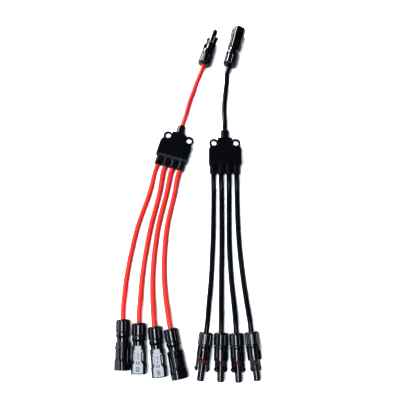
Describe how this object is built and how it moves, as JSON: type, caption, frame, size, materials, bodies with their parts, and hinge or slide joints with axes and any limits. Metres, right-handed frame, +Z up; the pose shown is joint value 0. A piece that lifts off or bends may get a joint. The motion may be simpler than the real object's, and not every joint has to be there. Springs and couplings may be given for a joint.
{
  "type": "solar cable connector",
  "caption": "Pair of photovoltaic branch leads: trunk connector, moulded block with screw ears, and branch cables ending in locking plug or sleeve connectors.",
  "frame": {"origin": "centre of the footprint of the connectors and blocks, on the surface that they lie on", "axes": "+Y from the branch connectors towards the trunk connectors, +X from the red lead to the black lead, +Z up"},
  "size_m": [0.1689, 0.4569, 0.019],
  "materials": {
    "black_housing": "moulded, satin gloss",
    "black_nut": "moulded, satin gloss, with polished lobes",
    "block_black": "moulded, fine satin grain",
    "clamp_grey": "moulded",
    "cable_red": "extruded, satin",
    "cable_black": "extruded, satin",
    "seal_red": "moulded silicone",
    "tinned_contact": "tin plated",
    "copper": "bare"
  },
  "bodies": {
    "red_lead": {"red_trunk_housing": "black_housing", "red_socket_contact": "tinned_contact", "red_seals": "seal_red", "red_junction_block": "block_black", "red_splice": "copper", "red_trunk_cable": "cable_red", "red_cable_1": "cable_red", "red_cable_2": "cable_red", "red_cable_3": "cable_red", "red_cable_4": "cable_red", "red_sleeve_1_housing": "black_housing", "red_sleeve_2_housing": "black_housing", "red_sleeve_3_housing": "black_housing", "red_sleeve_4_housing": "black_housing", "red_pin_contacts": "tinned_contact"},
    "black_lead": {"black_trunk_housing": "black_housing", "black_pin_contact": "tinned_contact", "black_seals": "seal_red", "black_junction_block": "block_black", "black_splice": "copper", "black_trunk_cable": "cable_black", "black_cable_1": "cable_black", "black_cable_2": "cable_black", "black_cable_3": "cable_black", "black_cable_4": "cable_black", "black_plug_1_housing": "black_housing", "black_plug_2_housing": "black_housing", "black_plug_3_housing": "black_housing", "black_plug_4_housing": "black_housing", "black_socket_contacts": "tinned_contact"},
    "red_trunk_clamp": {"red_trunk_collet": "clamp_grey"},
    "red_trunk_nut": {"red_trunk_nut": "black_nut"},
    "black_plug_1_clamp": {"black_plug_1_collet": "clamp_grey"},
    "black_plug_1_nut": {"black_plug_1_nut": "black_nut"},
    "black_plug_2_clamp": {"black_plug_2_collet": "clamp_grey"},
    "black_plug_2_nut": {"black_plug_2_nut": "black_nut"},
    "black_plug_3_clamp": {"black_plug_3_collet": "clamp_grey"},
    "black_plug_3_nut": {"black_plug_3_nut": "black_nut"},
    "black_plug_4_clamp": {"black_plug_4_collet": "clamp_grey"},
    "black_plug_4_nut": {"black_plug_4_nut": "black_nut"},
    "black_trunk_clamp": {"black_trunk_collet": "clamp_grey"},
    "black_trunk_nut": {"black_trunk_nut": "black_nut"},
    "red_sleeve_1_clamp": {"red_sleeve_1_collet": "clamp_grey"},
    "red_sleeve_1_nut": {"red_sleeve_1_nut": "black_nut"},
    "red_sleeve_2_clamp": {"red_sleeve_2_collet": "clamp_grey"},
    "red_sleeve_2_nut": {"red_sleeve_2_nut": "black_nut"},
    "red_sleeve_3_clamp": {"red_sleeve_3_collet": "clamp_grey"},
    "red_sleeve_3_nut": {"red_sleeve_3_nut": "black_nut"},
    "red_sleeve_4_clamp": {"red_sleeve_4_collet": "clamp_grey"},
    "red_sleeve_4_nut": {"red_sleeve_4_nut": "black_nut"},
    "red_trunk_latch_left": {"red_trunk_latch_left": "black_housing"},
    "red_trunk_latch_right": {"red_trunk_latch_right": "black_housing"},
    "black_plug_1_latch_left": {"black_plug_1_latch_left": "black_housing"},
    "black_plug_1_latch_right": {"black_plug_1_latch_right": "black_housing"},
    "black_plug_2_latch_left": {"black_plug_2_latch_left": "black_housing"},
    "black_plug_2_latch_right": {"black_plug_2_latch_right": "black_housing"},
    "black_plug_3_latch_left": {"black_plug_3_latch_left": "black_housing"},
    "black_plug_3_latch_right": {"black_plug_3_latch_right": "black_housing"},
    "black_plug_4_latch_left": {"black_plug_4_latch_left": "black_housing"},
    "black_plug_4_latch_right": {"black_plug_4_latch_right": "black_housing"}
  },
  "joints": [
    {"name": "black_lead_place", "type": "slide", "parent": "red_lead", "child": "black_lead", "axis": [1, 0, 0], "range_m": [0, 0.3]},
    {"name": "red_trunk_clamp_slide", "type": "slide", "parent": "red_lead", "child": "red_trunk_clamp", "axis": [-0.2924, -0.9563, 0], "range_m": [0, 0.006]},
    {"name": "red_trunk_nut_turn", "type": "hinge", "parent": "red_trunk_clamp", "child": "red_trunk_nut", "pos_m": [0.02079, 0.18017, 0.0084], "axis": [-0.2924, -0.9563, 0], "range_deg": [0, 1440]},
    {"name": "black_plug_1_clamp_slide", "type": "slide", "parent": "black_lead", "child": "black_plug_1_clamp", "axis": [0.1305, 0.9914, 0], "range_m": [0, 0.006]},
    {"name": "black_plug_1_nut_turn", "type": "hinge", "parent": "black_plug_1_clamp", "child": "black_plug_1_nut", "pos_m": [0.02022, -0.17994, 0.0084], "axis": [0.1305, 0.9914, 0], "range_deg": [0, 1440]},
    {"name": "black_plug_2_clamp_slide", "type": "slide", "parent": "black_lead", "child": "black_plug_2_clamp", "axis": [0.0262, 0.9997, 0], "range_m": [0, 0.006]},
    {"name": "black_plug_2_nut_turn", "type": "hinge", "parent": "black_plug_2_clamp", "child": "black_plug_2_nut", "pos_m": [0.0384, -0.1805, 0.0084], "axis": [0.0262, 0.9997, 0], "range_deg": [0, 1440]},
    {"name": "black_plug_3_clamp_slide", "type": "slide", "parent": "black_lead", "child": "black_plug_3_clamp", "axis": [-0.0349, 0.9994, 0], "range_m": [0, 0.006]},
    {"name": "black_plug_3_nut_turn", "type": "hinge", "parent": "black_plug_3_clamp", "child": "black_plug_3_nut", "pos_m": [0.05626, -0.18099, 0.0084], "axis": [-0.0349, 0.9994, 0], "range_deg": [0, 1440]},
    {"name": "black_plug_4_clamp_slide", "type": "slide", "parent": "black_lead", "child": "black_plug_4_clamp", "axis": [-0.1045, 0.9945, 0], "range_m": [0, 0.006]},
    {"name": "black_plug_4_nut_turn", "type": "hinge", "parent": "black_plug_4_clamp", "child": "black_plug_4_nut", "pos_m": [0.07418, -0.17946, 0.0086], "axis": [-0.1045, 0.9945, 0], "range_deg": [0, 1440]},
    {"name": "black_trunk_clamp_slide", "type": "slide", "parent": "black_lead", "child": "black_trunk_clamp", "axis": [-0.2419, -0.9703, 0], "range_m": [0, 0.006]},
    {"name": "black_trunk_nut_turn", "type": "hinge", "parent": "black_trunk_clamp", "child": "black_trunk_nut", "pos_m": [0.05461, 0.17878, 0.0092], "axis": [-0.2419, -0.9703, 0], "range_deg": [0, 1440]},
    {"name": "red_sleeve_1_clamp_slide", "type": "slide", "parent": "red_lead", "child": "red_sleeve_1_clamp", "axis": [-0.0209, 0.9998, 0], "range_m": [0, 0.006]},
    {"name": "red_sleeve_1_nut_turn", "type": "hinge", "parent": "red_sleeve_1_clamp", "child": "red_sleeve_1_nut", "pos_m": [-0.07554, -0.1655, 0.0095], "axis": [-0.0209, 0.9998, 0], "range_deg": [0, 1440]},
    {"name": "red_sleeve_2_clamp_slide", "type": "slide", "parent": "red_lead", "child": "red_sleeve_2_clamp", "axis": [-0.0175, 0.9998, 0], "range_m": [0, 0.006]},
    {"name": "red_sleeve_2_nut_turn", "type": "hinge", "parent": "red_sleeve_2_clamp", "child": "red_sleeve_2_nut", "pos_m": [-0.05687, -0.1695, 0.0084], "axis": [-0.0175, 0.9998, 0], "range_deg": [0, 1440]},
    {"name": "red_sleeve_3_clamp_slide", "type": "slide", "parent": "red_lead", "child": "red_sleeve_3_clamp", "axis": [-0.1219, 0.9925, 0], "range_m": [0, 0.006]},
    {"name": "red_sleeve_3_nut_turn", "type": "hinge", "parent": "red_sleeve_3_clamp", "child": "red_sleeve_3_nut", "pos_m": [-0.03789, -0.17344, 0.0084], "axis": [-0.1219, 0.9925, 0], "range_deg": [0, 1440]},
    {"name": "red_sleeve_4_clamp_slide", "type": "slide", "parent": "red_lead", "child": "red_sleeve_4_clamp", "axis": [-0.1994, 0.9799, 0], "range_m": [0, 0.006]},
    {"name": "red_sleeve_4_nut_turn", "type": "hinge", "parent": "red_sleeve_4_clamp", "child": "red_sleeve_4_nut", "pos_m": [-0.0188, -0.17585, 0.0096], "axis": [-0.1994, 0.9799, 0], "range_deg": [0, 1440]},
    {"name": "red_trunk_latch_left_flex", "type": "hinge", "parent": "red_lead", "child": "red_trunk_latch_left", "pos_m": [0.02202, 0.20071, 0.00405], "axis": [0.6399, -0.1956, -0.7431], "range_deg": [0, 4.6], "stiffness_Nm_per_rad": 1.5},
    {"name": "red_trunk_latch_right_flex", "type": "hinge", "parent": "red_lead", "child": "red_trunk_latch_right", "pos_m": [0.03126, 0.19789, 0.01275], "axis": [0.6399, -0.1956, -0.7431], "range_deg": [-4.6, 0], "stiffness_Nm_per_rad": 1.5},
    {"name": "black_plug_1_latch_left_flex", "type": "hinge", "parent": "black_lead", "child": "black_plug_1_latch_left", "pos_m": [0.02383, -0.20058, 0.00672], "axis": [-0.2566, 0.0338, -0.9659], "range_deg": [0, 4.6], "stiffness_Nm_per_rad": 1.5},
    {"name": "black_plug_1_latch_right_flex", "type": "hinge", "parent": "black_lead", "child": "black_plug_1_latch_right", "pos_m": [0.01139, -0.19895, 0.01008], "axis": [-0.2566, 0.0338, -0.9659], "range_deg": [-4.6, 0], "stiffness_Nm_per_rad": 1.5},
    {"name": "black_plug_2_latch_left_flex", "type": "hinge", "parent": "black_lead", "child": "black_plug_2_latch_left", "pos_m": [0.04247, -0.20061, 0.0038], "axis": [-0.7069, 0.0185, -0.7071], "range_deg": [0, 4.6], "stiffness_Nm_per_rad": 1.5},
    {"name": "black_plug_2_latch_right_flex", "type": "hinge", "parent": "black_lead", "child": "black_plug_2_latch_right", "pos_m": [0.03329, -0.20037, 0.013], "axis": [-0.7069, 0.0185, -0.7071], "range_deg": [-4.6, 0], "stiffness_Nm_per_rad": 1.5},
    {"name": "black_plug_3_latch_left_flex", "type": "hinge", "parent": "black_lead", "child": "black_plug_3_latch_left", "pos_m": [0.06241, -0.20079, 0.00486], "axis": [-0.5443, -0.019, -0.8387], "range_deg": [0, 4.6], "stiffness_Nm_per_rad": 1.5},
    {"name": "black_plug_3_latch_right_flex", "type": "hinge", "parent": "black_lead", "child": "black_plug_3_latch_right", "pos_m": [0.05151, -0.20117, 0.01194], "axis": [-0.5443, -0.019, -0.8387], "range_deg": [-4.6, 0], "stiffness_Nm_per_rad": 1.5},
    {"name": "black_plug_4_latch_left_flex", "type": "hinge", "parent": "black_lead", "child": "black_plug_4_latch_left", "pos_m": [0.07998, -0.19896, 0.00328], "axis": [-0.8147, -0.0856, -0.5736], "range_deg": [0, 4.6], "stiffness_Nm_per_rad": 1.5},
    {"name": "black_plug_4_latch_right_flex", "type": "hinge", "parent": "black_lead", "child": "black_plug_4_latch_right", "pos_m": [0.07257, -0.19974, 0.01392], "axis": [-0.8147, -0.0856, -0.5736], "range_deg": [-4.6, 0], "stiffness_Nm_per_rad": 1.5}
  ],
  "couplings": [
    {"joint": "red_trunk_nut_turn", "follows": "red_trunk_clamp_slide", "rad_per_m": 4188.8},
    {"joint": "black_plug_1_nut_turn", "follows": "black_plug_1_clamp_slide", "rad_per_m": 4188.8},
    {"joint": "black_plug_2_nut_turn", "follows": "black_plug_2_clamp_slide", "rad_per_m": 4188.8},
    {"joint": "black_plug_3_nut_turn", "follows": "black_plug_3_clamp_slide", "rad_per_m": 4188.8},
    {"joint": "black_plug_4_nut_turn", "follows": "black_plug_4_clamp_slide", "rad_per_m": 4188.8},
    {"joint": "black_trunk_nut_turn", "follows": "black_trunk_clamp_slide", "rad_per_m": 4188.8},
    {"joint": "red_sleeve_1_nut_turn", "follows": "red_sleeve_1_clamp_slide", "rad_per_m": 4188.8},
    {"joint": "red_sleeve_2_nut_turn", "follows": "red_sleeve_2_clamp_slide", "rad_per_m": 4188.8},
    {"joint": "red_sleeve_3_nut_turn", "follows": "red_sleeve_3_clamp_slide", "rad_per_m": 4188.8},
    {"joint": "red_sleeve_4_nut_turn", "follows": "red_sleeve_4_clamp_slide", "rad_per_m": 4188.8}
  ]
}
